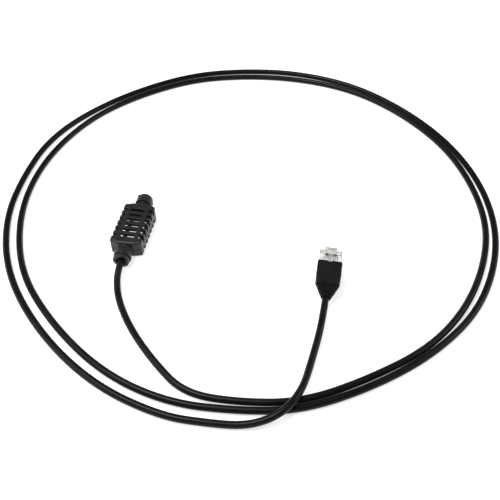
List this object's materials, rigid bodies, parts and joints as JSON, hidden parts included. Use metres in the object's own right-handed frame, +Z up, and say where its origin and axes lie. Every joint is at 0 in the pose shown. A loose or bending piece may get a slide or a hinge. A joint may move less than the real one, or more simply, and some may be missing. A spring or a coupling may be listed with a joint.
{
  "type": "rack temperature sensor",
  "caption": "Slotted oblong temperature sensing head on a long loose lead that ends in a clear modular plug with a ribbed boot, for reading the air temperature in an equipment rack.",
  "frame": {"origin": "middle of the head's underside, at floor level", "axes": "+Y along the head towards its plain boss, away from the lead; +X across the head towards the plug; +Z up"},
  "size_m": [0.2803, 0.2877, 0.0105],
  "materials": {
    "housing": "fine moulding texture with a soft sheen",
    "jacket": "smooth extruded jacket with a soft sheen",
    "boot": "dull flexible moulding",
    "clear_plug": "clear moulding, slightly cloudy",
    "contacts": "gold plated",
    "board": "green solder mask",
    "chip": "moulded compound",
    "tinned": "tinned metal",
    "capacitor": "fired body with dull end caps",
    "wire_white": "white insulation",
    "wire_grey": "grey insulation"
  },
  "bodies": {
    "root": {"housing_top": "housing", "housing_bottom": "housing", "circuit_board": "board", "sensor_chip": "chip", "chip_leads": "tinned", "capacitor": "capacitor", "resistor": "chip", "cable_ferrule": "tinned", "head_wire_1": "wire_white", "head_wire_2": "wire_grey", "head_wire_3": "wire_white", "head_wire_4": "wire_grey", "cable": "jacket", "plug_boot": "boot", "plug_body": "clear_plug", "contact_1": "contacts", "contact_2": "contacts", "contact_3": "contacts", "contact_4": "contacts", "contact_5": "contacts", "contact_6": "contacts", "contact_7": "contacts", "contact_8": "contacts", "plug_wire_1": "wire_white", "plug_wire_2": "wire_grey", "plug_wire_3": "wire_white", "plug_wire_4": "wire_grey"}
  },
  "joints": []
}
